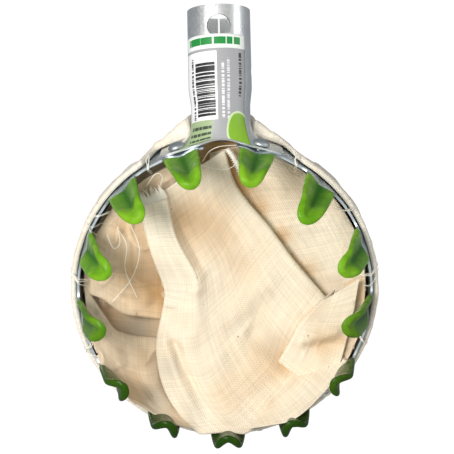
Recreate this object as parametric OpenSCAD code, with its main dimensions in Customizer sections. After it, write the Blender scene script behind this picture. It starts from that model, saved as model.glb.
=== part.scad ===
// Fruit picker head: a sheet-steel crown with plastic-dipped prongs, a riveted pole socket
// and a cotton bag that is sewn round the crown and bunched up inside it.
// It lies on its bag with its mouth up: +Z is the crown's axis, and the socket points to +Y.
// The origin is on the crown's axis, in the plane that the bag rests on.
// Azimuths are in degrees from +Y towards +X, clockwise from above.

/* [Crown] */
// Outside diameter of the crown's steel band
crown_d = 140; // [117:1:168]
// Height of the steel band
band_h = 22; // [21:1:26]
// Thickness of the steel sheet
sheet_t = 1; // [0.8:0.1:1.3]
// Angle left open between the two ends of the band, at the socket
band_gap = 14; // [8:1:16]
// Height of the rim above the plane that the bag rests on
rim_z = 56; // [54:1:68]

/* [Prongs] */
// Height of a steel prong above the rim
prong_l = 32; // [26:1:40]
// Width of one flank of a prong, from its edge to its ridge
flank_w = 7.4; // [6:0.1:8.5]
// Depth of the prong's valley near its tip
valley_d = 5.5; // [4:0.1:5.8]
// How far the ridge stands in from the band at the tip
ridge_in = 10.5; // [8:0.1:13]
// Height of the dent below the rim where the ridge runs out into the band
dent_h = 6.5; // [5:0.1:7]
// Azimuth of the first prong on each side of the socket
first_az = 16; // [15:0.5:18]
// Thickness of the dipped plastic coat
coat_t = 1; // [0.6:0.1:1.4]
// Height above the rim where the coat starts
coat_start = 2.5; // [1.5:0.1:4]

/* [Pole socket] */
// Bore of the socket, which takes the pole
bore_d = 28; // [24:0.5:34]
// Length of the socket's axis, from the crown to its mouth
socket_l = 60; // [54:1:73]
// Length of the straight bore, from the mouth
bore_l = 38; // [32:1:42]
// How much narrower the tapered end of the socket is than its mouth
taper = 2; // [1:0.1:3]
// How far the socket leans back from the plane of the rim, in degrees
socket_lean = 22; // [15:1:23]
// Diameter of the hanging hole in the front of the socket
hang_d = 11.3; // [8:0.1:13]
// Distance of the hanging hole from the mouth
hang_in = 10.5; // [8:0.5:12]
// Diameter of the pole screw's hole in the side of the socket
screw_d = 4.5; // [3.5:0.1:6]
// Distance of the screw hole from the mouth
screw_in = 30; // [24:0.5:31]
// Width of the open seam along the back of the socket
seam_w = 0.8; // [0.4:0.1:2]

/* [Ears and rivets] */
// Azimuth that each ear reaches
ear_az = 24; // [21:0.5:26]
// Height of the ears
ear_h = 20; // [18:1:22]
// Diameter of a rivet's shank
rivet_d = 4.8; // [4:0.1:5.6]
// Diameter of a rivet's domed head
rivet_head_d = 8.6; // [7.5:0.1:9.5]
// Height of a rivet's domed head
rivet_head_h = 2.6; // [2:0.1:3]

/* [Label] */
// Thickness of the sticker
label_t = 0.2; // [0.1:0.05:0.3]
// Length of the sticker along the socket
label_l = 45; // [24:1:45]
// Distance of the sticker from the socket's mouth
label_in = 14.3; // [14:0.1:17]
// How far the sticker wraps to the left of the socket's front, in degrees
label_left = 78; // [60:1:85]
// How far the sticker wraps to the right of the socket's front, in degrees
label_right = 52; // [40:1:70]

/* [Bag] */
// Thickness of the folded hem
hem_t = 1.8; // [1:0.1:2.5]
// Width of the hem, along the band
hem_h = 20; // [16:1:22]
// Distance of the hem's edge below the rim
hem_in = 3; // [2:0.1:4]
// How far the bag's wall stands out from the band
skirt_out = 2.8; // [2.4:0.1:5]
// Thickness of the bag's wall, folded cloth
skirt_t = 2; // [1.5:0.1:3]
// Radius of the flat that the bag rests on
rest_r = 46; // [36:1:50]
// Distance of the highest fold of the bunched bag below the rim
bunch_in = 12; // [10:1:14]
// Diameter of the sewing thread, as a doubled strand
thread_d = 1; // [0.6:0.1:1.2]

/* [Hidden] */
$fn = 64;
prong_n = 13;
names = [for (i = [1:prong_n]) str("prong_coat_", i < 10 ? "0" : "", i)];

// Crown
crown_r = crown_d / 2;
mid_r = crown_r - sheet_t / 2;
inner_r = crown_r - sheet_t;
band_z = rim_z - band_h;
pitch = (360 - 2 * first_az) / (prong_n - 1);
// Each prong's own lean towards the axis, because they are bent by hand, in degrees
prong_lean = [-1, 7, 5, 6, -4, -7, -6, -4, -1, 3.5, 5, 2.5, -1];
// Each prong's own sideways lean, clockwise from above, and its shift round the rim, in degrees
prong_side = [-4, -1, 1, 1, 0, 0, 0, 0, -1, 0, 0, 3, 5.5];
prong_shift = [-2, -1.4, 0.8, 1, 0.7, 0, 0, -1, -1.3, -0.3, 0, 0.5, -0.3];
// Clearance between the cloth and the steel that it bends round
clear = 0.3;

// Socket
tilt = [-socket_lean, 0, 0];
tube_r = bore_d / 2 + sheet_t;
neck_r = tube_r - taper / 2;
root_y = crown_r + 2;
root_z = rim_z - sheet_t / 2 - neck_r / cos(socket_lean);
// The tube keeps its smaller size for neck_l, and is drawn root_l into the crown before it is cut
neck_l = 14;
root_l = 14;
bulge = 2.3;
bulge_az = 13;
ear_z = rim_z - 1.5 - ear_h / 2;
rivet_az = first_az + 0.5;
rivet_z = rim_z - 6.5;
green = "#5E9A2B";
zinc = "#B9C0C6";
calico = "#EAD9B8";

// Puts a shape at an azimuth round the crown's axis
module at_az(az) {
    rotate([0, 0, -az]) children();
}

// Puts a shape that stands along +Z onto the socket's axis, with its -Y side to the front
module on_socket() {
    translate([0, root_y, root_z]) rotate(tilt) rotate([-90, 0, 0]) children();
}

// Part of a ring between two azimuths, from a profile of [radius, height] points
module ring_part(profile, from, to) {
    rotate([0, 0, 90 - to]) rotate_extrude(angle = to - from, $fn = 180) polygon(profile);
}

function ridge_at(s) = ridge_in * (s + dent_h) / (prong_l + dent_h);
function depth_at(s) =
    let (rim_depth = ridge_at(0))
    s < 0 ? ridge_at(s)
          : rim_depth + (valley_d - rim_depth) * min(1, s / (prong_l - flank_w / 2));
function width_at(s) = s < 0 ? flank_w * (s + dent_h) / dent_h : flank_w;
function prong_az(i) = first_az + i * pitch + prong_shift[i];

// One section of a prong, as six points: the outer edge, valley and edge, then the inner ones.
// s is the height above the rim, k the share of the width left, i the prong's number from 0,
// and grow the coat's thickness.
function section(s, k, i, grow) =
    let (depth = depth_at(s) * k, w = width_at(s) * k,
         chord = sqrt(max(0.01, w * w - depth * depth)), a = atan2(depth, chord),
         ridge = mid_r - ridge_at(s) - max(0, s) * tan(prong_lean[i]), h = sheet_t / 2 + grow,
         shift = max(0, s) * tan(prong_side[i]),
         edge = [chord, ridge + depth - chord * chord / (2 * mid_r)],
         along = grow * [cos(a), sin(a)], out = h * [-sin(a), cos(a)],
         p = edge + along + out, q = edge + along - out,
         top = ridge + h / cos(a), low = ridge - h / cos(a))
    [for (v = [[-p[0], p[1]], [0, top], p, q, [0, low], [-q[0], q[1]]])
        [v[0] + shift, v[1], s]];

// A closed skin over sections of six points each
module skin(sections) {
    n = len(sections);
    last = 6 * (n - 1);
    sides = [for (i = [0:n - 2]) for (j = [0:5]) for (t = [0, 1])
        let (a = 6 * i + j, b = 6 * i + (j + 1) % 6)
        t == 0 ? [a, b, a + 6] : [b, b + 6, a + 6]];
    caps = [[0, 4, 1], [0, 5, 4], [1, 3, 2], [1, 4, 3],
            [last, last + 1, last + 4], [last, last + 4, last + 5],
            [last + 1, last + 2, last + 3], [last + 1, last + 3, last + 4]];
    polyhedron([for (s = sections) for (p = s) p], concat(sides, caps), convexity = 6);
}

// The steel of one prong, from the dent in the band to its rounded tip, with the rim at z = 0
module prong_steel(i) {
    straight = prong_l - flank_w;
    rises = [for (f = [0.12, 0.5, 1]) dent_h * (f - 1)];
    stem = [for (f = [0.25, 0.5, 0.75, 1]) straight * f];
    at_az(prong_az(i))
        skin(concat(
            [for (s = concat(rises, stem)) section(s, 1, i, 0)],
            [for (t = [25:15:85]) section(straight + flank_w * sin(t), cos(t), i, 0)]));
}

// The plastic coat of one prong, hollow where the steel is
module prong_coat(i) {
    straight = prong_l - flank_w;
    stem = [for (f = [0:0.25:1]) coat_start + (straight - coat_start) * f];
    round_r = flank_w + coat_t;
    color(green) translate([0, 0, rim_z]) difference() {
        at_az(prong_az(i))
            skin(concat(
                [for (s = stem) section(s, 1, i, coat_t)],
                [for (t = [20:15:80])
                    section(straight + round_r * sin(t), cos(t), i, coat_t)]));
        prong_steel(i);
    }
}

// The cut in the band where a prong's dent is pressed out of it, with the rim at z = 0
module dent_window() {
    half = flank_w - 1.4;
    rotate([90, 0, 0]) linear_extrude(crown_r + 1)
        polygon([[-half, 1], [half, 1], [half, 0], [0, 1.6 - dent_h], [-half, 0]]);
}

// A round hole through the sheet, square to the band
module radial_hole(az, z, d) {
    at_az(az) translate([0, crown_r - 8, z]) rotate([-90, 0, 0]) cylinder(d = d, h = 16);
}

// The band with its thirteen prongs, one pressed strip whose ends meet behind the socket
module crown_band() {
    color(zinc) translate([0, 0, rim_z]) resize([crown_d, 0, 0]) union() {
        difference() {
            ring_part([[inner_r, -band_h], [crown_r, -band_h], [crown_r, 0], [inner_r, 0]],
                      band_gap / 2, 360 - band_gap / 2);
            for (i = [0:prong_n - 1]) at_az(prong_az(i) + 180) dent_window();
            radial_hole(rivet_az, rivet_z - rim_z, rivet_d);
            radial_hole(-rivet_az, rivet_z - rim_z, rivet_d);
        }
        for (i = [0:prong_n - 1]) prong_steel(i);
    }
}

// The strap that carries both ears, with the bulge between them, before its outline is cut
module ear_strap() {
    reach = ear_az + 2;
    rise = function (az) bulge * (0.5 + 0.5 * cos(180 * min(1, abs(az) / bulge_az)));
    inside = [for (az = [-reach:1:reach])
        (crown_r - 0.5 + rise(az) * (1 + 0.5 / bulge)) * [sin(az), cos(az)]];
    outside = [for (az = [reach:-1:-reach])
        (crown_r + sheet_t + rise(az)) * [sin(az), cos(az)]];
    translate([0, 0, band_z]) linear_extrude(band_h) polygon(concat(inside, outside));
}

// The rounded outline of the ears, seen from the socket's mouth
module ear_outline() {
    reach = crown_r * sin(ear_az);
    corner = 6;
    rotate([90, 0, 0]) translate([0, ear_z, -2 * crown_r]) linear_extrude(2 * crown_r) union() {
        square([2 * (reach - corner), ear_h], center = true);
        square([2 * reach, ear_h - 2 * corner], center = true);
        for (x = [-1, 1]) for (z = [-1, 1])
            translate([x * (reach - corner), z * (ear_h / 2 - corner)]) circle(corner);
    }
}

// The outside of the tube, or its inside when it is drawn a sheet's thickness smaller
module tube(grow) {
    on_socket() {
        translate([0, 0, -root_l]) cylinder(r = neck_r + grow, h = root_l + neck_l);
        translate([0, 0, neck_l])
            cylinder(r1 = neck_r + grow, r2 = tube_r + grow, h = socket_l - bore_l - neck_l);
        translate([0, 0, socket_l - bore_l]) cylinder(r = tube_r + grow, h = bore_l);
    }
}

// The pole socket: a rolled tube that opens out into two ears on the band
module socket() {
    color(zinc) difference() {
        union() {
            tube(0);
            intersection() {
                ear_strap();
                ear_outline();
            }
        }
        tube(-sheet_t);
        on_socket() {
            translate([0, 0, socket_l - hang_in]) rotate([90, 0, 0])
                cylinder(d = hang_d, h = tube_r + 1);
            translate([0, 0, socket_l - screw_in]) rotate([0, 90, 0])
                cylinder(d = screw_d, h = tube_r + 1);
            translate([-seam_w / 2, 0, neck_l / 2]) cube([seam_w, tube_r + 1, socket_l]);
        }
        cylinder(r = crown_r, h = 2 * rim_z, $fn = 180);
        radial_hole(rivet_az, rivet_z, rivet_d);
        radial_hole(-rivet_az, rivet_z, rivet_d);
    }
}

// A set rivet: a domed head outside, a shank through ear and band, and a flat head inside
module rivet(az) {
    sphere_r = (rivet_head_d * rivet_head_d / 4 + rivet_head_h * rivet_head_h) / (2 * rivet_head_h);
    seat_r = crown_r + sheet_t;
    back_r = rivet_head_d / 2 - 0.5;
    back_y = sqrt(inner_r * inner_r - back_r * back_r);
    color(zinc) at_az(az) translate([0, 0, rivet_z]) rotate([-90, 0, 0]) union() {
        intersection() {
            translate([0, 0, seat_r + rivet_head_h - sphere_r]) sphere(r = sphere_r);
            translate([0, 0, seat_r]) cylinder(r = rivet_head_d, h = 2 * rivet_head_h);
        }
        translate([0, 0, back_y]) cylinder(d = rivet_d, h = seat_r - back_y);
        translate([0, 0, back_y - sheet_t]) cylinder(r = back_r, h = sheet_t);
    }
}

module rivet_left() {
    rivet(-rivet_az);
}

module rivet_right() {
    rivet(rivet_az);
}

// A wedge round the socket's axis, from the sticker's left edge to its right edge
module label_wedge() {
    far = 2 * tube_r;
    rotate([0, 0, -90]) linear_extrude(socket_l)
        polygon(concat([[0, 0]], [for (f = [0:0.125:1])
            let (a = -label_left + f * (label_left + label_right)) far * [cos(a), sin(a)]]));
}

// The sticker round the front of the socket
module label() {
    cone_l = socket_l - bore_l - neck_l;
    low = socket_l - label_in - label_l;
    color("#C9C8CD") on_socket() intersection() {
        difference() {
            union() {
                cylinder(r = neck_r + label_t, h = neck_l);
                translate([0, 0, neck_l])
                    cylinder(r1 = neck_r + label_t, r2 = tube_r + label_t, h = cone_l);
                translate([0, 0, neck_l + cone_l]) cylinder(r = tube_r + label_t, h = bore_l);
            }
            translate([0, 0, -1]) cylinder(r = neck_r, h = neck_l + 1);
            translate([0, 0, neck_l - 0.01]) cylinder(r1 = neck_r, r2 = tube_r, h = cone_l + 0.02);
            translate([0, 0, neck_l + cone_l]) cylinder(r = tube_r, h = bore_l + 1);
        }
        label_wedge();
        translate([0, 0, low]) cylinder(r = 2 * tube_r, h = label_l);
    }
}

// The space that the socket, its ears and its rivets need inside the cloth
module socket_room() {
    on_socket() translate([0, 0, -10]) cylinder(r = tube_r + clear, h = socket_l + 20);
    ring_part([[crown_r - 1, band_z - 1], [crown_r + rivet_head_h + sheet_t + 1, band_z - 1],
               [crown_r + rivet_head_h + sheet_t + 1, rim_z], [crown_r - 1, rim_z]],
              -ear_az - 2, ear_az + 2);
}

// The folded hem, which is wrapped round the outside of the band up to the ears
module bag_hem() {
    top = rim_z - hem_in;
    foot = top - hem_h;
    color(calico)
        ring_part([[crown_r, foot], [crown_r + skirt_out, foot], [crown_r + skirt_out, foot + 4],
                   [crown_r + hem_t, top], [crown_r, top]], ear_az + 3, 360 - ear_az - 3);
}

// The cloth that is pushed out round the root of the socket
module bag_collar() {
    foot = rim_z - hem_in - hem_h - 12;
    side_x = tube_r + 5;
    color(calico) difference() {
        hull() for (x = [-1, 1]) {
            translate([x * side_x, crown_r + 6, foot]) cylinder(r = 4, h = hem_h - 4, $fn = 24);
            at_az(x * (ear_az + 8)) translate([0, crown_r + 0.5, foot])
                cylinder(r = 4, h = hem_h + 4, $fn = 24);
        }
        socket_room();
        cylinder(r = crown_r + skirt_out + clear, h = 2 * rim_z, $fn = 120);
    }
}

// The wall of the bag, from the hem down to what it rests on
module bag_skirt() {
    top = rim_z - hem_in - hem_h;
    out = crown_r + skirt_out;
    color(calico) difference() {
        rotate_extrude($fn = 120)
            polygon([[0, 0], [rest_r, 0], [rest_r + 10, 4], [out - 8, 13], [out - 1.5, top - 8],
                     [out, top - 0.2], [crown_r + 0.4, top - 0.2],
                     [crown_r - 0.8, top - 8], [out - 8 - skirt_t, 13 + skirt_t],
                     [rest_r + 9, 4 + skirt_t], [rest_r, skirt_t], [0, skirt_t]]);
        socket_room();
    }
}

// The rest of the bag, bunched up inside the crown
module bag_bunch() {
    top = rim_z - bunch_in;
    side = inner_r - 2;
    color(calico) difference() {
        rotate_extrude($fn = 96)
            polygon([[0, skirt_t + 0.2], [rest_r - 1, skirt_t + 0.2], [rest_r + 7, 7],
                     [side - 6, 16], [side - 0.4, top - 18], [side, top - 14], [side - 5, top - 9],
                     [side - 22, top - 3], [side - 45, top], [0, top - 1]]);
        socket_room();
    }
}

// The overlocked edge of the bag's side seam, which shows between the first two prongs
module bag_seam() {
    start = [3, crown_r - 12, rim_z - 9.5];
    finish = [9, crown_r - 24, rim_z - 10];
    path = finish - start;
    color("#F3EAD5") translate(start)
        rotate([0, acos(path[2] / norm(path)), atan2(path[1], path[0])])
            cylinder(r = 1.2, h = norm(path));
}

// One whip stitch over the rim, from the cloth inside the crown to the hem outside
module whip_stitch() {
    r = thread_d / 2;
    in_y = inner_r - r - 0.1;
    out_y = crown_r + r + 0.1;
    top = rim_z + r + 0.1;
    translate([0, in_y, rim_z - 12]) cylinder(r = r, h = top - rim_z + 12);
    translate([0, out_y, rim_z - hem_in + 0.1]) cylinder(r = r, h = top - rim_z + hem_in - 0.1);
    translate([0, in_y, top]) rotate([-90, 0, 0]) cylinder(r = r, h = out_y - in_y);
    for (y = [in_y, out_y]) translate([0, y, top]) sphere(r = r);
}

// The whip stitches, one in each gap between the prongs but the one at the socket
module whip_stitches() {
    color("#F6EFDD") for (i = [0:prong_n - 2])
        at_az(first_az + (i + 0.5) * pitch) whip_stitch($fn = 24);
}

crown_band();
socket();
rivet_left();
rivet_right();
label();
bag_hem();
bag_collar();
bag_skirt();
bag_bunch();
bag_seam();
whip_stitches();
for (i = [0:prong_n - 1])
    prong_coat(i);
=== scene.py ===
"""Fruit picker head, seen from above: a steel crown with dipped prongs and a calico bag."""

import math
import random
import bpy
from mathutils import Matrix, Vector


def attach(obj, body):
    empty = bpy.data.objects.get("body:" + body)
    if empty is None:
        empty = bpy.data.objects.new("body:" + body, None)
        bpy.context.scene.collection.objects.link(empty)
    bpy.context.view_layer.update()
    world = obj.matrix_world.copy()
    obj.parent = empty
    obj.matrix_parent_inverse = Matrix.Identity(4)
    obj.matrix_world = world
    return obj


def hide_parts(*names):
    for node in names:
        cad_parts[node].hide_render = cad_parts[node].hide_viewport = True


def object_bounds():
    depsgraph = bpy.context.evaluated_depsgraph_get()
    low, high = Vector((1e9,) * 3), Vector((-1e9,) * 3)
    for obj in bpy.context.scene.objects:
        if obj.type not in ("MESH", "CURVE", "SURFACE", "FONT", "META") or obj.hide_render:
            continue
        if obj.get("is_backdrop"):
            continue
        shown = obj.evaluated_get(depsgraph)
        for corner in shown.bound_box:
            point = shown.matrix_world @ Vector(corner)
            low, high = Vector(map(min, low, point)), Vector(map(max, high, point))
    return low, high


bl_info = {
    "name": "Fruit picker head",
    "version": (1, 0, 0),
    "blender": (4, 5, 0),
    "location": "3D View > Sidebar > Picker",
    "description": "Builds the looks of a fruit picker head on its packed CAD frame",
    "category": "Object",
}

import bmesh
import bpy
import numpy as np
from mathutils import Matrix, Vector, noise

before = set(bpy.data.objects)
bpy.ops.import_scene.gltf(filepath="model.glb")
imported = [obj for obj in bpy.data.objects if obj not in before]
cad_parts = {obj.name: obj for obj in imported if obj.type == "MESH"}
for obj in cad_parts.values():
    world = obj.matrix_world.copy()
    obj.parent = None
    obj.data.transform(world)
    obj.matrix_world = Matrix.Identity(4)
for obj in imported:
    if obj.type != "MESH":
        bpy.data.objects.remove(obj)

MM = 0.001

# Sizes of the crown in mm and degrees, as the CAD has them
PRONGS = 13
SHEET = 1.0         # thickness of crown and socket
MID_R = 69.5        # radius of the middle of the band's sheet
RIM = 56.0          # height of the rim, where the prongs start
FIRST = 16.0        # azimuth of the first prong, clockwise from the socket
PITCH = 328 / 12    # from one prong to the next
FLANK = 7.4         # width of each of a prong's two flanks
PRONG = 32.0        # length of a prong
DENT = 6.5          # how far a prong's fold runs down into the band
RIDGE_IN = 10.5     # how far the fold's ridge is from the band at the tip
VALLEY = 5.5        # depth of the fold at the tip
# Each prong's bends in degrees: lean towards the axis, lean sideways, shift round the rim
LEANS = (-1, 7, 5, 6, -4, -7, -6, -4, -1, 3.5, 5, 2.5, -1)
SIDES = (-4, -1, 1, 1, 0, 0, 0, 0, -1, 0, 0, 3, 5.5)
SHIFTS = (-2, -1.4, 0.8, 1, 0.7, 0, 0, -1, -1.3, -0.3, 0, 0.5, -0.3)
AZIMUTHS = [FIRST + i * PITCH + SHIFTS[i] for i in range(PRONGS)]

# The socket's axis in mm: where it starts, and the directions along it and to its front
ROOT = np.array((0.0, 72.0, 40.4))
AXIS = np.array((0.0, 0.92718, -0.37461))
FRONT = np.array((0.0, 0.37461, 0.92718))
SOCKET_L = 60       # from the root to the open end
FLOW_FROM = 7       # where the tube starts to flow out into the ears, along the axis
EAR_EDGE = -4       # where it has reached their edge
TUBE_R = 14.5       # radius of the middle of the tube's sheet
NECK_R = 13.5       # the same at the root, where the tube is narrower


# ---------------------------------------------------------------- mesh helpers

def linear(code):
    """The linear colour of an sRGB hex code, as a node socket takes it."""
    channels = [int(code[i:i + 2], 16) / 255 for i in (1, 3, 5)]
    return [c / 12.92 if c <= 0.04045 else ((c + 0.055) / 1.055) ** 2.4 for c in channels] + [1]


def new_mesh(name, points, faces, material, uv=None, attributes=None):
    """An object whose place is in its mesh, from points in mm."""
    mesh = bpy.data.meshes.new(name)
    mesh.from_pydata((np.asarray(points, float) * MM).tolist(), [], faces)
    mesh.validate()
    if uv is not None:
        layer = mesh.uv_layers.new(name="UVMap")
        corner = np.empty(len(mesh.loops), int)
        mesh.loops.foreach_get("vertex_index", corner)
        layer.data.foreach_set("uv", np.asarray(uv, np.float32)[corner].ravel())
    for key, values in (attributes or {}).items():
        layer = mesh.attributes.new(key, "FLOAT", "POINT")
        layer.data.foreach_set("value", np.asarray(values, np.float32))
    mesh.shade_smooth()
    obj = bpy.data.objects.new(name, mesh)
    bpy.context.scene.collection.objects.link(obj)
    mesh.materials.append(material)
    return obj


def grid_faces(rows, columns, close_rows=False, close_columns=False):
    """Quads of a grid of points that are stored row by row."""
    faces = []
    for i in range(rows if close_rows else rows - 1):
        for j in range(columns if close_columns else columns - 1):
            a, b = i * columns + j, i * columns + (j + 1) % columns
            k = (i + 1) % rows
            faces.append((a, b, k * columns + (j + 1) % columns, k * columns + j))
    return faces


def smooth_line(points, count):
    """count points along a Catmull-Rom line through the given ones, evenly spaced."""
    p = np.asarray(points, float)
    p = np.vstack((2 * p[0] - p[1], p, 2 * p[-1] - p[-2]))
    fine = []
    for i in range(1, len(p) - 2):
        for t in np.linspace(0, 1, 24, endpoint=False):
            fine.append(0.5 * (2 * p[i] + (p[i + 1] - p[i - 1]) * t
                               + (2 * p[i - 1] - 5 * p[i] + 4 * p[i + 1] - p[i + 2]) * t ** 2
                               + (3 * p[i] - p[i - 1] - 3 * p[i + 1] + p[i + 2]) * t ** 3))
    fine = np.array(fine + [p[-2]])
    along = np.concatenate(([0], np.cumsum(np.linalg.norm(np.diff(fine, axis=0), axis=1))))
    want = np.linspace(0, along[-1], count)
    return np.stack([np.interp(want, along, fine[:, k]) for k in range(3)], axis=1)


def noise_at(points, scale, seed, octaves=2):
    """Fractal noise from about -1 to 1 at each point, with features of the given size in mm."""
    shift = Vector((seed * 17.3, seed * 7.1, seed * 3.7))
    flat = np.asarray(points, float).reshape(-1, 3)
    values = [noise.fractal(Vector(p) / scale + shift, 1.0, 2.0, octaves) for p in flat]
    return np.array(values).reshape(np.asarray(points).shape[:-1])


def line_distance(points, line):
    """Distance in plan of each point from a line of points, and the share of its length there."""
    xy = points[..., :2]
    best = np.full(xy.shape[:-1], 1e9)
    share = np.zeros(xy.shape[:-1])
    line = np.asarray(line, float)[:, :2]
    for i, (a, b) in enumerate(zip(line[:-1], line[1:])):
        ab = b - a
        t = np.clip(((xy - a) @ ab) / (ab @ ab), 0, 1)
        d = np.linalg.norm(xy - a - t[..., None] * ab, axis=-1)
        near = d < best
        best = np.where(near, d, best)
        share = np.where(near, (i + t) / (len(line) - 1), share)
    return best, share


def recalculated(obj):
    """Turns an object's faces outwards."""
    work = bmesh.new()
    work.from_mesh(obj.data)
    bmesh.ops.recalc_face_normals(work, faces=work.faces)
    work.to_mesh(obj.data)
    work.free()
    return obj


def thicken(obj, thickness, offset):
    """Gives a sheet its thickness in mm."""
    solid = obj.modifiers.new("thickness", "SOLIDIFY")
    solid.thickness = thickness * MM
    solid.offset = offset
    solid.use_even_offset = False


def finish_mesh(obj, angle):
    """Turns the evaluated mesh into the object's own, with sharp edges past an angle."""
    graph = bpy.context.evaluated_depsgraph_get()
    mesh = bpy.data.meshes.new_from_object(obj.evaluated_get(graph), depsgraph=graph)
    obj.modifiers.clear()
    old = obj.data
    obj.data = mesh
    mesh.name = obj.name
    bpy.data.meshes.remove(old)
    recalculated(obj)
    obj.data.set_sharp_from_angle(angle=math.radians(angle))


def thread(name, lines, radius, material, sides=5):
    """Threads of one piece: a thin closed tube along each line of points in mm."""
    points, faces = [], []
    for line in lines:
        line = np.asarray(line, float)
        start = len(points)
        ahead = np.gradient(line, axis=0)
        ahead /= np.linalg.norm(ahead, axis=1)[:, None] + 1e-9
        side = np.cross(ahead[0], (0.3, 0.2, 0.9))
        for p, t in zip(line, ahead):
            side = side - t * (side @ t)
            side /= np.linalg.norm(side)
            other = np.cross(t, side)
            for k in range(sides):
                a = 2 * math.pi * k / sides
                points.append(p + radius * (math.cos(a) * side + math.sin(a) * other))
        for f in grid_faces(len(line), sides, close_columns=True):
            faces.append(tuple(start + v for v in f))
        faces.append(tuple(start + k for k in range(sides))[::-1])
        end = start + (len(line) - 1) * sides
        faces.append(tuple(end + k for k in range(sides)))
    return recalculated(new_mesh(name, points, faces, material))


# ------------------------------------------------------------ material helpers

def node(tree, kind, inputs=None, **settings):
    """Adds a node, sets its properties, and sets or links its inputs."""
    made = tree.nodes.new("ShaderNode" + kind)
    for key, value in settings.items():
        setattr(made, key, value)
    for key, value in (inputs or {}).items():
        if isinstance(value, bpy.types.NodeSocket):
            tree.links.new(value, made.inputs[key])
        else:
            made.inputs[key].default_value = value
    return made


def math_node(tree, operation, a, b=0.0, c=0.0):
    """A Math node's output, for one to three sockets or numbers."""
    return node(tree, "Math", {0: a, 1: b, 2: c}, operation=operation).outputs[0]


def mix(tree, factor, a, b, blend="MIX"):
    """The colour between two colours, at a factor."""
    made = node(tree, "Mix", {"Factor": factor}, data_type="RGBA", blend_type=blend)
    for socket, value in zip([s for s in made.inputs if s.type == "RGBA"], (a, b)):
        if isinstance(value, bpy.types.NodeSocket):
            tree.links.new(value, socket)
        else:
            socket.default_value = value
    return [s for s in made.outputs if s.type == "RGBA"][0]


def ramp(tree, value, low, high, start=0.0, end=1.0, smooth=True):
    """value from low..high as start..end, held at the ends."""
    made = node(tree, "MapRange", {0: value, 1: low, 2: high, 3: start, 4: end},
                interpolation_type="SMOOTHSTEP" if smooth else "LINEAR")
    return made.outputs[0]


def material(name, **surface):
    """A new material: its tree, and its Principled shader with the given inputs set."""
    made = bpy.data.materials.new(name)
    made.use_nodes = True
    shader = made.node_tree.nodes["Principled BSDF"]
    for key, value in surface.items():
        shader.inputs[key.replace("_", " ")].default_value = value
    return made, made.node_tree, shader


def object_noise(tree, per_mm, detail):
    """Noise on an object's own coordinates, as a value about 0.5."""
    where = node(tree, "TexCoord").outputs["Object"]
    return node(tree, "TexNoise", {"Vector": where, "Scale": per_mm / MM,
                                   "Detail": detail}).outputs["Fac"]


def bump(tree, shader, height, distance_mm, strength=1.0):
    """Bump from a height between 0 and 1 that stands for a depth in mm."""
    made = node(tree, "Bump", {"Height": height, "Distance": distance_mm * MM,
                               "Strength": strength})
    tree.links.new(made.outputs[0], shader.inputs["Normal"])


# ------------------------------------------------------------------- materials

def zinc(name, base, rough):
    """Hot-dip zinc on steel: a faint uneven finish, so reflections break up softly."""
    made, tree, shader = material(name, Metallic=1.0)
    where = node(tree, "TexCoord").outputs["Object"]
    cells = node(tree, "TexVoronoi", {"Vector": where, "Scale": 0.35 / MM}).outputs["Color"]
    grain = object_noise(tree, 0.9, 4)
    cloud = object_noise(tree, 0.06, 2)
    tone = math_node(tree, "MULTIPLY_ADD", cells, 0.3, math_node(tree, "MULTIPLY", cloud, 0.7))
    colour = mix(tree, tone, linear(base[0]), linear(base[1]))
    tree.links.new(colour, shader.inputs["Base Color"])
    tree.links.new(ramp(tree, grain, 0.3, 0.7, rough, rough + 0.16), shader.inputs["Roughness"])
    bump(tree, shader, grain, 0.02, 0.5)
    return made


def dipped_plastic():
    """Dipped PVC: glossy, with a slightly uneven skin, and painted shade in each fold's groove."""
    made, tree, shader = material("dipped PVC, lime green", IOR=1.45, Specular_IOR_Level=0.1)
    # painted shade: dark in each fold's groove, darker on the prongs opposite the socket
    groove_shade = node(tree, "Attribute", attribute_name="groove_shade").outputs["Fac"]
    shade = node(tree, "Attribute", attribute_name="shade").outputs["Fac"]
    cloud = object_noise(tree, 0.12, 3)
    light = mix(tree, ramp(tree, cloud, 0.35, 0.65), linear("#5F961A"), linear("#79AC26"))
    colour = mix(tree, groove_shade, light, linear("#1C5C0E"))
    colour = mix(tree, shade, colour, linear("#0B2A07"))
    tree.links.new(colour, shader.inputs["Base Color"])
    fine = object_noise(tree, 0.5, 2)
    tree.links.new(ramp(tree, cloud, 0.3, 0.7, 0.2, 0.3), shader.inputs["Roughness"])
    bump(tree, shader, fine, 0.25, 0.5)
    return made


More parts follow.
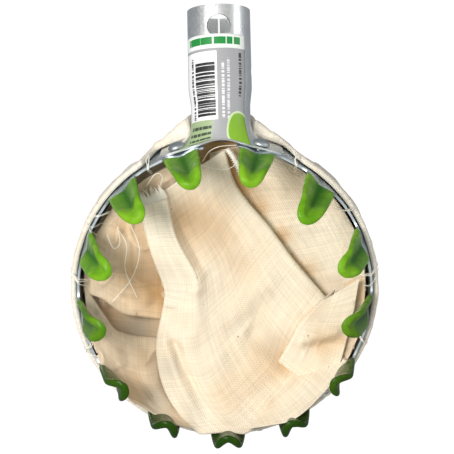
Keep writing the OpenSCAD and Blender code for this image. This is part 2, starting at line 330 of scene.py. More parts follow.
def calico(name, pale, warm_tone_and_shade, weave, depth):
    """Unbleached calico: open plain weave, slubs, brown seed flecks, soft sheen, painted shade."""
    made, tree, shader = material(name, Roughness=0.92, IOR=1.45, Specular_IOR_Level=0.15,
                                  Sheen_Weight=0.12, Sheen_Roughness=0.6)
    uv = node(tree, "UVMap", uv_map="UVMap").outputs[0]
    split = node(tree, "SeparateXYZ", {0: uv})
    turn = 2 * math.pi / weave
    wobble = node(tree, "TexNoise", {"Vector": uv, "Scale": 0.09, "Detail": 2.0}).outputs["Fac"]
    across = math_node(tree, "MULTIPLY_ADD", split.outputs[0], turn,
                       math_node(tree, "MULTIPLY", wobble, 9.0))
    along = math_node(tree, "MULTIPLY_ADD", split.outputs[1], turn,
                      math_node(tree, "MULTIPLY", wobble, -7.0))
    weft = math_node(tree, "SINE", across)
    warp = math_node(tree, "SINE", along)
    cross = math_node(tree, "MULTIPLY", weft, warp)
    threads = math_node(tree, "ADD", math_node(tree, "MULTIPLY", weft, 0.14),
                        math_node(tree, "MULTIPLY", warp, 0.14))
    height = math_node(tree, "MULTIPLY_ADD", cross, 0.42,
                       math_node(tree, "ADD", threads, 0.5))
    stretched = node(tree, "Mapping", {"Vector": uv, "Scale": (0.03, 0.8, 1)}).outputs[0]
    upright = node(tree, "Mapping", {"Vector": uv, "Scale": (0.8, 0.03, 1)}).outputs[0]
    slub, slub_up = [node(tree, "TexNoise", {"Vector": where, "Scale": 1.0,
                                             "Detail": 2.0}).outputs["Fac"]
                     for where in (stretched, upright)]
    slubs = math_node(tree, "ADD", slub, slub_up)
    height = math_node(tree, "MULTIPLY_ADD", math_node(tree, "SUBTRACT", slubs, 1.0), 0.9, height)
    # painted shade: warm ochre in folds and recesses, with random mottling, from the mesh's
    # attribute
    tint = node(tree, "Attribute", attribute_name="warm_tone_and_shade").outputs["Fac"]
    cloud = node(tree, "TexNoise", {"Vector": uv, "Scale": 0.035, "Detail": 3.0}).outputs["Fac"]
    tinted = math_node(tree, "MULTIPLY_ADD", math_node(tree, "SUBTRACT", cloud, 0.5), 0.25, tint)
    colour = mix(tree, tinted, linear(pale), linear(warm_tone_and_shade))
    gaps = ramp(tree, height, 0.1, 0.85, 0.0, 1.0, smooth=False)
    gaps = math_node(tree, "MULTIPLY_ADD", gaps, 0.32, 0.74)
    grey = node(tree, "CombineColor", {0: gaps, 1: gaps, 2: gaps}).outputs[0]
    colour = mix(tree, 1.0, colour, grey, "MULTIPLY")
    seed = node(tree, "TexVoronoi", {"Vector": uv, "Scale": 0.085, "Randomness": 1.0})
    fleck = ramp(tree, seed.outputs["Distance"], 0.018, 0.05, 0.75, 0.0)
    colour = mix(tree, fleck, colour, linear("#6E5636"))
    # painted grey shade in deep recesses and dark pockets, from the mesh's attribute
    grey_shade = node(tree, "Attribute", attribute_name="grey_shade").outputs["Fac"]
    colour = mix(tree, grey_shade, colour, linear("#A9AAA0"))
    tree.links.new(colour, shader.inputs["Base Color"])
    bump(tree, shader, height, depth, 0.8)
    return made


def sticker():
    """Coated paper label: satin grey print, a white head with a green stripe, bars and a badge."""
    made, tree, shader = material("coated paper, printed", Roughness=0.38, IOR=1.5,
                                  Specular_IOR_Level=0.4)
    uv = node(tree, "UVMap", uv_map="UVMap").outputs[0]
    split = node(tree, "SeparateXYZ", {0: uv})
    angle, along = split.outputs[0], split.outputs[1]

    def within(value, low, high):
        """1 where a value is between two others, otherwise 0."""
        return math_node(tree, "COMPARE", value, (low + high) / 2, (high - low) / 2)

    def box_mask(left, right, low, high):
        """1 inside a box, from degrees round the socket and mm along it."""
        return math_node(tree, "MULTIPLY", within(angle, left, right), within(along, low, high))

    def broken(value, per_unit, share, seed):
        """Random marks along a value, for the stripes of a print that says nothing."""
        random_line = node(tree, "TexNoise", {"W": math_node(tree, "ADD", value, seed),
                                              "Scale": per_unit, "Detail": 1.0},
                           noise_dimensions="1D").outputs["Fac"]
        return math_node(tree, "GREATER_THAN", random_line, 1 - share)

    colour = linear("#A1A2A6")
    for area, code in (((-90, 60, 40.8, 47.9), "#E9EEEA"), ((-78, -5, 7.6, 39.5), "#F0F0F2"),
                       ((-78, -15, -6, 7.6), "#9FB389")):
        colour = mix(tree, box_mask(*area), colour, linear(code))
    bars = math_node(tree, "MULTIPLY", box_mask(-49, -9, 8.9, 34.5), broken(along, 1.7, 0.58, 3.0))
    colour = mix(tree, bars, colour, linear("#26272B"))
    stripe = math_node(tree, "MULTIPLY", box_mask(-66, 40, 42.7, 46.2),
                       broken(angle, 0.16, 0.62, 9))
    colour = mix(tree, stripe, colour, linear("#1F8A3F"))
    for left, right, low, high, seed, code in (
            (-60, -54, 8, 37, 1, "#3A3B40"), (3, 8, 8, 34, 2, "#E4E4E8"),
            (13, 18, 6, 36, 4, "#D9D9DE"), (36, 42, 18, 39, 5, "#2D2E33")):
        words = math_node(tree, "MULTIPLY", box_mask(left, right, low, high),
                          broken(along, 1.1, 0.55, seed))
        colour = mix(tree, words, colour, linear(code))
    for k, low in enumerate((4.8, 2.7, 0.6, -1.5)):
        words = math_node(tree, "MULTIPLY", box_mask(-62, -17, low, low + 1.0),
                          broken(angle, 0.35, 0.6, 11 + k))
        colour = mix(tree, words, colour, linear("#3F4A3A"))
    dx = math_node(tree, "DIVIDE", math_node(tree, "SUBTRACT", angle, 36.0), 27.0)
    dy = math_node(tree, "DIVIDE", math_node(tree, "SUBTRACT", along, 2.6), 8.4)
    away = math_node(tree, "ADD", math_node(tree, "MULTIPLY", dx, dx),
                     math_node(tree, "MULTIPLY", dy, dy))
    colour = mix(tree, math_node(tree, "LESS_THAN", away, 1.0), colour, linear("#C9DDB0"))
    colour = mix(tree, math_node(tree, "LESS_THAN", away, 0.78), colour, linear("#7FAE2E"))
    tree.links.new(colour, shader.inputs["Base Color"])
    bump(tree, shader, object_noise(tree, 0.15, 2), 0.1, 0.3)
    return made


def cotton_thread():
    """Twisted cotton thread: bright, rough and slightly hairy."""
    made, tree, shader = material("cotton thread, bleached", Roughness=0.8, Sheen_Weight=0.2,
                                  Specular_IOR_Level=0.25)
    fine = object_noise(tree, 1.6, 3)
    tree.links.new(mix(tree, fine, linear("#F2EBDA"), linear("#FFFDF6")),
                   shader.inputs["Base Color"])
    bump(tree, shader, fine, 0.12, 0.6)
    return made


# ----------------------------------------------------------------------- crown

def ridge_at(s):
    """How far inside the band a prong's ridge is, at a height above the rim."""
    return RIDGE_IN * (s + DENT) / (PRONG + DENT)


def depth_at(s):
    """Depth of a prong's fold at a height above the rim."""
    rim = ridge_at(0)
    return ridge_at(s) if s < 0 else rim + (VALLEY - rim) * min(1, s / (PRONG - FLANK / 2))


def prong_place(azimuth, x, radial, z):
    """The point at x across and a distance from the crown's axis, at a prong's azimuth."""
    a = math.radians(azimuth)
    return (radial * math.sin(a) + x * math.cos(a), radial * math.cos(a) - x * math.sin(a), z)


def build_crown(metal):
    """The band with the steel of its prongs, as one bent strip of sheet."""
    chord = math.sqrt(FLANK ** 2 - depth_at(0) ** 2)
    reach = 1.3
    shares = reach * np.sin(np.linspace(-math.pi / 2, math.pi / 2, 17))
    half = math.degrees(reach * chord / MID_R)
    columns = [(7.0, None, 0.0)]
    for i, centre in enumerate(AZIMUTHS):
        for t in shares:
            columns.append((centre + math.degrees(t * chord / MID_R), i, t))
        if i < PRONGS - 1:
            gap = AZIMUTHS[i + 1] - centre - 2 * half
            for f in (0.2, 0.4, 0.6, 0.8):
                columns.append((centre + half + f * gap, None, 0.0))
    columns.append((353.0, None, 0.0))
    heights = [34, 37, 40, 43, 46, 48, 49.6, 50.6, 51.6, 52.6, 53.6, 54.5, 55.3, 56]
    points, faces = [], []
    for z in heights:
        s = z - RIM
        for azimuth, prong, t in columns:
            inward = 0.0
            if prong is not None and s > -DENT:
                width = max(0.6, FLANK * (s + DENT) / DENT)
                x = abs(t) * chord
                inward = ridge_at(s) * max(0.0, 1 - math.sqrt(x * x + 0.3) / width)
            wobble = 0.12 * math.sin(azimuth * 0.11) + 0.1 * math.sin(azimuth * 0.37)
            a = math.radians(azimuth)
            r = MID_R - inward + wobble
            points.append((r * math.sin(a), r * math.cos(a), z))
    count = len(columns)
    for i in range(len(heights) - 1):
        for j in range(count - 1):
            a = i * count + j
            faces.append((a, a + 1, a + 1 + count, a + count))
    rows = [0.35, 0.8, 1.4, 2.1, 3, 4.5, 8, 12, 16, 20, PRONG - FLANK]
    tips = [30, 50, 68, 80]
    for i in range(PRONGS):
        base = (len(heights) - 1) * count + 1 + i * (len(shares) + 4)
        below = [base + k for k in range(len(shares))]
        lean = math.tan(math.radians(LEANS[i]))
        side = math.tan(math.radians(SIDES[i]))
        sections = [(s, 1.0) for s in rows]
        sections += [(PRONG - FLANK + FLANK * math.sin(math.radians(v)), math.cos(math.radians(v)))
                     for v in tips]
        for s, k in sections:
            depth = depth_at(s) * k
            own = math.sqrt(max(0.05, (FLANK * k) ** 2 - depth ** 2))
            wide = own * (1 + (reach - 1) * math.exp(-s / 0.9))
            ridge = MID_R - ridge_at(s) - s * lean
            row = []
            for t in shares:
                x = wide * t / reach
                v = min(1.0, math.sqrt((x / own) ** 2 + 0.01))
                row.append(len(points))
                points.append(prong_place(AZIMUTHS[i], x + s * side,
                                          ridge + depth * v - x * x / (2 * MID_R), RIM + s))
            for k in range(len(shares) - 1):
                faces.append((below[k], below[k + 1], row[k + 1], row[k]))
            below = row
    crown = new_mesh("crown_sheet", points, faces, metal)
    thicken(crown, SHEET, 0.0)
    finish_mesh(crown, 40)
    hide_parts("crown_band")
    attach(crown, "root")


def coat_section(s, k, h, lean, side_lean):
    """A ring of (x, radius) round a coat at a height above the rim, and its painted groove shade.

    k is the share of the prong's width that is left there, h half the coat's thickness.
    """
    depth = depth_at(min(s, PRONG)) * (0.35 + 0.65 * k)
    own = math.sqrt(max(0.3, (FLANK * k) ** 2 - (depth * k) ** 2))
    depth *= k
    ridge = MID_R - ridge_at(min(s, PRONG)) - s * lean
    softness = 0.16 + 0.30 * max(0.0, (s - 14) / 18)
    slope = depth / own
    length = math.hypot(1, slope)

    def middle(t, soft):
        """The middle of the coat at a share of its half width, with the fold's ridge softened."""
        x = own * t
        v = math.sqrt(t * t + soft ** 2) - soft * 0.35
        return x + s * side_lean, ridge + depth * v - x * x / (2 * MID_R)

    def face(t, soft, sharp, way):
        """A point of the outer (way 1) or inner (way -1) face."""
        x, r = middle(t, soft)
        n = np.clip(t / sharp, -1, 1) * slope / length
        return x - way * n * h, r + way * h * math.sqrt(1 - n * n)

    def edge(t, degrees):
        """A point of the rounded edge at t = 1 or -1."""
        along, out = np.array((t, slope)) / length, np.array((-t * slope, 1)) / length
        a = math.radians(degrees)
        return tuple(np.array(middle(t, 0.1)) + h * (math.cos(a) * along + math.sin(a) * out))

    steps = np.linspace(-1, 1, 15)
    ring = [face(t, softness, 0.35, 1) for t in steps]
    ring += [edge(1.0, degrees) for degrees in (45, 0, -45)]
    ring += [face(t, 0.14, 0.3, -1) for t in steps[::-1]]
    ring += [edge(-1.0, degrees) for degrees in (-45, 0, 45)]
    fade = min(1, max(0, (28 - s) / 5))
    # painted shade along the fold's groove, fading out near the tip
    groove_shade = [0.9 * math.exp(-((t - 0.1) / 0.6) ** 2) * fade for t in steps]
    return ring, groove_shade + [0.0] * (len(ring) - len(groove_shade))


def build_coat(i, plastic):
    """The dipped coat of one prong: a closed skin with rounded edges, thickest at its tip."""
    lean, side_lean = math.tan(math.radians(LEANS[i])), math.tan(math.radians(SIDES[i]))
    straight = PRONG - FLANK
    sections = [(2.3, 1.0, 0.62), (2.5, 1.0, 1.15), (3.0, 1.0, 1.45)]
    sections += [(s, 1.0, 1.5) for s in (5, 8, 11, 14, 17, 20, 22.5, straight)]
    for v in (14, 27, 39, 50, 60, 69, 77):
        a = math.radians(v)
        sections.append((straight + (FLANK + 1) * math.sin(a), math.cos(a), 1.55 + 0.25 * v / 77))
    points, groove_shade = [], []
    for s, k, h in sections:
        ring, tints = coat_section(s, k, h, lean, side_lean)
        points += [prong_place(AZIMUTHS[i], x, r, RIM + s) for x, r in ring]
        groove_shade += tints
    size = len(points) // len(sections)
    faces = grid_faces(len(sections), size, close_columns=True)
    for first in (0, (len(sections) - 1) * size):
        centre = np.mean(points[first:first + size], axis=0)
        if first:
            centre = centre + np.array((0, 0, 1.1))
        points.append(tuple(centre))
        groove_shade.append(0.0)
        for k in range(size):
            faces.append((first + k, first + (k + 1) % size, len(points) - 1))
    points = np.array(points)
    shift = noise_at(points, 6.0, i + 1)
    points[:, 2] += 0.25 * shift * np.clip((points[:, 2] - RIM - 6) / 10, 0, 1)
    facing = 0.5 - 0.5 * math.cos(math.radians(AZIMUTHS[i]))
    shade = np.full(len(points), min(0.9, max(0.0, facing - 0.35) / 0.55))
    coat = new_mesh("prong_dip_%02d" % (i + 1), points, faces, plastic,
                    attributes={"groove_shade": groove_shade, "shade": shade})
    recalculated(coat)
    rounder = coat.modifiers.new("rounding", "SUBSURF")
    rounder.levels = rounder.render_levels = 1
    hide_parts("prong_coat_%02d" % (i + 1))
    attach(coat, "root")


# ---------------------------------------------------------------------- socket

# The ears' outline from the top of the tube down to its underside, as (azimuth, height)
EAR_PATH = [(13.5, 54.6), (20.5, 54.5), (23.3, 53.0), (24.0, 50.5), (24.0, 39.0), (23.2, 36.2),
            (20.5, 34.6), (15.0, 34.4), (8.95, 32.6)]


def strap_radius(azimuth):
    """Distance of the middle of the ears' sheet from the crown's axis."""
    return 70.5 + 1.15 * (1 + math.cos(math.pi * min(1.0, abs(azimuth) / 13)))


def tube_point(theta, u):
    """A point of the tube's sheet: theta in degrees from its front, u in mm along the axis."""
    r = NECK_R + (TUBE_R - NECK_R) * min(1.0, max(0.0, (u - 14) / 8))
    a = math.radians(theta)
    return ROOT + u * AXIS + r * (math.cos(a) * FRONT + math.sin(a) * np.array((1.0, 0, 0)))


def socket_point(theta, u):
    """A point of the socket's sheet, which flows out into the ears near the root."""
    if u >= FLOW_FROM:
        return tube_point(theta, u)
    f = (FLOW_FROM - u) / (FLOW_FROM - EAR_EDGE)
    side = 1 if theta >= 0 else -1
    turn = abs(theta)
    x = NECK_R * math.sin(math.radians(turn))
    if turn > 125:
        y = math.sqrt(71.6 ** 2 - x * x)
        end_u = (y - ROOT[1] - NECK_R * math.cos(math.radians(turn)) * FRONT[1]) / AXIS[1]
        return tube_point(theta, FLOW_FROM + f * (end_u - FLOW_FROM))
    if turn < 75:
        azimuth, z = math.degrees(math.asin(1.3 * x / 73)), 54.6
    else:
        share = (turn - 75) / 50 * (len(EAR_PATH) - 1)
        k = min(int(share), len(EAR_PATH) - 2)
        (a0, z0), (a1, z1) = EAR_PATH[k], EAR_PATH[k + 1]
        azimuth, z = a0 + (share - k) * (a1 - a0), z0 + (share - k) * (z1 - z0)
    r = strap_radius(azimuth)
    a = math.radians(azimuth) * side
    end = np.array((r * math.sin(a), r * math.cos(a), z))
    start = tube_point(theta, FLOW_FROM)
    near = tube_point(theta, 1.5)
    mid_a = math.radians(min(azimuth, 12.5)) * side
    mid_r = strap_radius(math.degrees(mid_a))
    level = 0.75 * z + 0.25 * near[2]
    guide = np.array((mid_r * math.sin(mid_a), mid_r * math.cos(mid_a), level))
    p = ((1 - f) ** 3 * start + 3 * (1 - f) ** 2 * f * near + 3 * (1 - f) * f * f * guide
         + f ** 3 * end)
    flat = math.hypot(p[0], p[1])
    least = strap_radius(math.degrees(math.atan2(abs(p[0]), p[1])))
    if flat < least:
        p[:2] *= least / flat
    return p


def build_socket(metal):
    """The rolled tube that flows out into the two ears, one sheet with an open seam."""
    thetas = np.linspace(-178.4, 178.4, 141)
    stations = (list(np.arange(SOCKET_L, FLOW_FROM, -0.75))
                + list(np.linspace(FLOW_FROM, EAR_EDGE, 22)))
    points = np.array([[socket_point(t, u) for t in thetas] for u in stations])
    points += 0.15 * noise_at(points, 22, 5)[..., None] * FRONT
    flat_points = np.array([(math.radians(t) * TUBE_R, u) for u in stations for t in thetas])
    faces = grid_faces(*points.shape[:2])
    points = points.reshape(-1, 3)
    hanging_hole, screw_hole = ((0.0, 49.5), 5.65), ((math.pi / 2 * TUBE_R, 30.0), 2.25)
    for centre, radius in (hanging_hole, screw_hole):
        away = np.linalg.norm(flat_points - centre, axis=1)
        inside = away < radius
        kept = [f for f in faces if not any(inside[v] for v in f)]
        dropped = {v for f in faces if any(inside[v] for v in f) for v in f}
        used = {v for f in kept for v in f}
        for v in dropped & used:
            pull = (flat_points[v] - centre) * (radius / away[v]) + centre
            points[v] = socket_point(math.degrees(pull[0] / TUBE_R), pull[1])
        faces = kept
    socket = new_mesh("pole_socket", points, faces, metal)
    work = bmesh.new()
    work.from_mesh(socket.data)
    loose = [v for v in work.verts if not v.link_faces]
    bmesh.ops.delete(work, geom=loose, context="VERTS")
    work.to_mesh(socket.data)
    work.free()
    recalculated(socket)
    thicken(socket, SHEET, 0.0)
    finish_mesh(socket, 45)
    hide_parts("socket")
    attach(socket, "root")


def build_rivet(side, azimuth, metal):
    """A rivet through ear and band: a domed head outside, a flat one inside."""
    profile = ((0, -2.8), (2.5, -2.7), (3.0, -2.3), (3.0, -2.1), (2.0, -2.0), (2.0, -0.1),
               (4.1, -0.1), (4.2, 0.3), (4.0, 1.0), (3.4, 1.75), (2.4, 2.35), (1.2, 2.65),
               (0, 2.75))
    a = math.radians(azimuth)
    out, up = np.array((math.sin(a), math.cos(a), 0)), np.array((0, 0, 1.0))
    across = np.array((math.cos(a), -math.sin(a), 0))
    centre = 71.5 * out + 50.2 * up
    count = 32
    turns = np.linspace(0, 2 * math.pi, count + 1)[:-1]
    points = [centre + profile[0][1] * out]
    for radius, height in profile[1:-1]:
        points += [centre + height * out + radius * (math.cos(t) * across + math.sin(t) * up)
                   for t in turns]
    points.append(centre + profile[-1][1] * out)
    last = len(points) - 1
    faces = [tuple(1 + v for v in f)
             for f in grid_faces(len(profile) - 2, count, close_columns=True)]
    for k in range(count):
        faces.append((0, 1 + k, 1 + (k + 1) % count))
        faces.append((last, last - count + (k + 1) % count, last - count + k))
    rivet = new_mesh("rivet_head_" + side, points, faces, metal)
    recalculated(rivet)
    rivet.data.set_sharp_from_angle(angle=math.radians(40))
    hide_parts("rivet_" + side)
    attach(rivet, "root")


def build_label(paper):
    """The sticker, laid on the front of the socket down to the rim."""
    thetas = np.linspace(-78, 52, 53)
    stations = np.linspace(45.7, -3.6, 60)

    def lifted(theta, u, lift):
        """A point of the socket's sheet, moved outwards."""
        p = socket_point(theta, u)
        across = socket_point(theta + 0.5, u) - socket_point(theta - 0.5, u)
        along = socket_point(theta, u + 0.3) - socket_point(theta, u - 0.3)
        n = np.cross(along, across)
        n /= np.linalg.norm(n)
        outward = p - (ROOT + u * AXIS)
        return p + lift * (n if n @ outward > 0 else -n)

    points = np.array([[lifted(t, u, 0.62) for t in thetas] for u in stations])
    uv = np.array([[(t, u + 2) for t in thetas] for u in stations]).reshape(-1, 2)
    label = new_mesh("sticker", points.reshape(-1, 3), grid_faces(*points.shape[:2]), paper, uv=uv)
    recalculated(label)
    thicken(label, 0.12, 0.0)
    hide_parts("label")
    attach(label, "root")


# ------------------------------------------------------------------------- bag

def collar_radius(azimuth):
    """Outside of the bag's wall near its top, wider where the cloth is pushed out by the socket."""
    a = abs(azimuth)
    known = ((0, 79.5), (8, 80), (11.5, 79.5), (14, 77.5), (18, 75.5), (24, 74), (28, 73.4),
             (34, 72.9), (180, 72.6))
    r = np.interp(a, [k[0] for k in known], [k[1] for k in known])
    return r + 1.5 * math.exp(-((azimuth + 13) / 6) ** 2)


def collar_top(azimuth, radius):
    """Height of the wall's upper fold, which passes under the tube behind the socket."""
    x = abs(radius * math.sin(math.radians(azimuth)))
    y = radius * math.cos(math.radians(azimuth))
    low = max(0.0, min(1.0, (33 - abs(azimuth)) / 8))
    open_z = 53.0 - 16.0 * low * low * (3 - 2 * low)
    if abs(azimuth) > 30:
        return open_z
    axis_z = ROOT[2] - (y - ROOT[1]) * 0.404
    under = axis_z - 15.8 * math.sqrt(max(0.0, 1 - (x / 15.8) ** 2)) / 0.927
    blend = max(0.0, min(1.0, (x - 14.8) / 2.4))
    blend = blend * blend * (3 - 2 * blend)
    return under + blend * (open_z - under) - 0.8 * (1 - blend)


def build_wall(cloth):
    """The bag's outer wall: hem, collar, sides and the flat it rests on."""
    azimuths = list(np.arange(-30, 30, 0.75)) + list(np.arange(30, 330, 1.5))
    rows = []
    shares = (0.93, 0.86, 0.78, 0.7, 0.61, 0.52, 0.43, 0.34, 0.26)
    side = np.interp(shares, [0.2, 0.35, 0.5, 0.62, 0.8, 1], [61, 65.5, 69, 71, 72.2, 72.6])
    for azimuth in azimuths:
        signed = azimuth if azimuth <= 180 else azimuth - 360
        outer = collar_radius(signed)
        top = collar_top(signed, outer - 3)
        hugging = 70.8 + 0.8 * min(1, max(0, (28 - abs(signed)) / 4))
        inner = min(hugging, outer - 1.2)
        span = outer - inner
        profile = [(inner, top - min(9, 0.4 * top)), (inner, top - 3),
                   (inner + 0.15 * span, top - 0.8), (inner + 0.45 * span, top),
                   (inner + 0.8 * span, top - 0.35), (outer, top - 1.8)]
        for f, r in zip(shares, side):
            profile.append((r + (outer - 72.6) * max(0, (f - 0.3) / 0.7), (top - 1.8) * f))
        profile += [(59, 7.5), (55.5, 4.6), (51, 2.6), (47, 1.4), (42, 0.9), (36, 0.9), (26, 0.9),
                    (14, 0.9), (4, 0.9)]
        rows.append([(r, azimuth, z) for r, z in profile])
    rows = np.array(rows)
    r, a, z = rows[..., 0], np.radians(rows[..., 1]), rows[..., 2]
    ring = np.stack((60 * np.sin(a), 60 * np.cos(a), z * 0.35), axis=-1)
    fine = np.stack((60 * np.sin(a), 60 * np.cos(a), z * 0.12), axis=-1)
    below = np.clip((50 - z) / 14, 0, 1) * np.clip(z / 6, 0, 1)
    steps = np.arange(r.shape[1])
    hem = np.exp(-((steps - 6) / 3.0) ** 2)[None, :]
    outside = (steps >= 4)[None, :]
    r = r + outside * (below * (1.3 * noise_at(ring, 13, 3) + 0.7 * noise_at(fine, 5, 4)))
    r = r + outside * hem * 0.32 * noise_at(fine, 2.6, 6)
    z = z + np.where(z > 40, 0.5 * noise_at(ring, 17, 8), 0)
    points = np.stack((r * np.sin(a), r * np.cos(a), z), axis=-1)
    points[..., 2] = np.maximum(points[..., 2], 0.5)
    count, deep = points.shape[:2]
    along = np.concatenate((np.zeros((count, 1)), np.cumsum(
        np.linalg.norm(np.diff(rows[..., (0, 2)], axis=1), axis=2), axis=1)), axis=1)
    uv = np.stack((np.broadcast_to(np.unwrap(a, axis=0) * 72, along.shape), along), axis=-1)
    # painted warm shade in the collar's fold near 46 mm, over a base tone with random mottling
    fold = np.exp(-((z - 46) / 6) ** 2) * 0.1
    warm_tone_and_shade = np.clip(0.22 + fold + 0.25 * noise_at(points, 18, 2), 0, 1)
    wall = new_mesh("bag_wall", points.reshape(-1, 3), grid_faces(count, deep, close_rows=True),
                    cloth, uv=uv.reshape(-1, 2),
                    attributes={"warm_tone_and_shade": warm_tone_and_shade.ravel(), "grey_shade": np.zeros(warm_tone_and_shade.size)})
    close_bottom(wall, count, deep)
    recalculated(wall)
    thicken(wall, 0.8, 0.0)
    finish_mesh(wall, 180)
    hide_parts("bag_hem", "bag_collar", "bag_skirt")
    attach(wall, "root")
    return wall


def close_bottom(wall, count, deep):
    """Fills the hole in the middle of the flat that the bag rests on."""
    work = bmesh.new()
    work.from_mesh(wall.data)
    work.verts.ensure_lookup_table()
    ring = [work.verts[i * deep + deep - 1] for i in range(count)]
    work.faces.new(ring)
    work.to_mesh(wall.data)
    work.free()


def coons(top, bottom, left, right, across, down):
    """A grid of points inside four boundary lines; left and right run from top to bottom."""
    t, b = smooth_line(top, across), smooth_line(bottom, across)
    le, ri = smooth_line(left, down), smooth_line(right, down)
    u = np.linspace(0, 1, across)[None, :, None]
    v = np.linspace(0, 1, down)[:, None, None]
    corners = ((1 - u) * (1 - v) * t[0] + u * (1 - v) * t[-1] + (1 - u) * v * b[0] + u * v * b[-1])
    return (1 - v) * t[None] + v * b[None] + (1 - u) * le[:, None] + u * ri[:, None] - corners


def rolled(points, side, radius, tuck):
    """Rolls one edge of a grid under, as a fold of cloth does, and tucks it in by some mm."""
    if side == "left":
        return rolled(points[:, ::-1], "right", radius, tuck)[:, ::-1]
    if side in ("top", "bottom"):
        other = "left" if side == "top" else "right"
        turned = rolled(points.transpose(1, 0, 2), other, radius, tuck)
        return turned.transpose(1, 0, 2)
    edge = points[:, -1]
    out = edge - points[:, -4]
    out[:, 2] *= 0.3
    out /= np.linalg.norm(out, axis=1)[:, None]
    down = np.array((0, 0, -1.0))
    extra = []
    for angle in (22, 45, 68, 90, 112, 135, 158, 180):
        a = math.radians(angle)
        extra.append(edge + radius * (math.sin(a) * out + (1 - math.cos(a)) * down))
    for step in (0.2, 0.45, 0.7, 1.0):
        extra.append(edge + 2 * radius * down - step * tuck * out + 1.5 * step * down)
    return np.concatenate((points, np.stack(extra, axis=1)), axis=1)


def lay_cloth(spec):
    """Grid, UV and painted shade of one layer of the bunched bag, from its outline and folds."""
    across, down = spec["grid"]
    points = coons(spec["top"], spec["bottom"], spec["left"], spec["right"], across, down)
    lift = np.zeros(points.shape[:2])
    for line, height, width, sharp in spec.get("folds", ()):
        d, share = line_distance(points, line)
        ends = np.clip(np.minimum(share, 1 - share) * 6, 0.25, 1)
        shape = np.exp(-d / width) if sharp else np.exp(-(d / width) ** 2)
        lift += height * shape * ends
    seed = spec["seed"]
    edge_u = np.sin(np.linspace(0, math.pi, across))[None, :] ** 0.5
    edge_v = np.sin(np.linspace(0, math.pi, down))[:, None] ** 0.5
    calm = 0.35 + 0.65 * edge_u * edge_v
    lift += calm * (spec["big"] * noise_at(points, 24, seed, 2)
                    + spec.get("small", 0.45) * noise_at(points, 8, seed + 9, 2))
    creases = 1 - np.abs(noise_at(points * (1, 1, 0.2), 17, seed + 3, 2)) * 4
    lift += calm * spec.get("creased", 0.35) * np.clip(creases, 0, 1) ** 2
    points[..., 2] += lift
    # painted shade: each layer's base share, blobs of warm and grey shade, then random mottling
    warm_tone_and_shade = np.full(points.shape[:2], spec["base"])
    grey_shade = np.zeros(points.shape[:2])
    for x, y, size, strength in spec.get("warm_tone_and_shade", ()):
        away = np.hypot(points[..., 0] - x, points[..., 1] - y)
        warm_tone_and_shade += strength * np.exp(-(away / size) ** 2)
    for x, y, size, strength in spec.get("grey_shade", ()):
        away = np.hypot(points[..., 0] - x, points[..., 1] - y)
        grey_shade += strength * np.exp(-(away / size) ** 2)
    warm_tone_and_shade += 0.10 * noise_at(points, 11, seed + 5)
    for side, (radius, tuck) in spec.get("rolls", {}).items():
        points = rolled(points, side, radius, tuck)
        pad = {"left": ((0, 0), (12, 0)), "right": ((0, 0), (0, 12)),
               "top": ((12, 0), (0, 0)), "bottom": ((0, 12), (0, 0))}[side]
        warm_tone_and_shade = np.pad(warm_tone_and_shade, pad, mode="edge")
        grey_shade = np.pad(grey_shade, pad, mode="edge")
    step_u = np.linalg.norm(np.diff(points, axis=1), axis=2).mean(axis=0)
    step_v = np.linalg.norm(np.diff(points, axis=0), axis=2).mean(axis=1)
    u = np.concatenate(([0], np.cumsum(step_u)))
    v = np.concatenate(([0], np.cumsum(step_v)))
    uv = np.stack(np.meshgrid(u + seed * 31, v + seed * 53), axis=-1)
    return points, uv, np.clip(warm_tone_and_shade, 0, 1), np.clip(grey_shade, 0, 0.8)
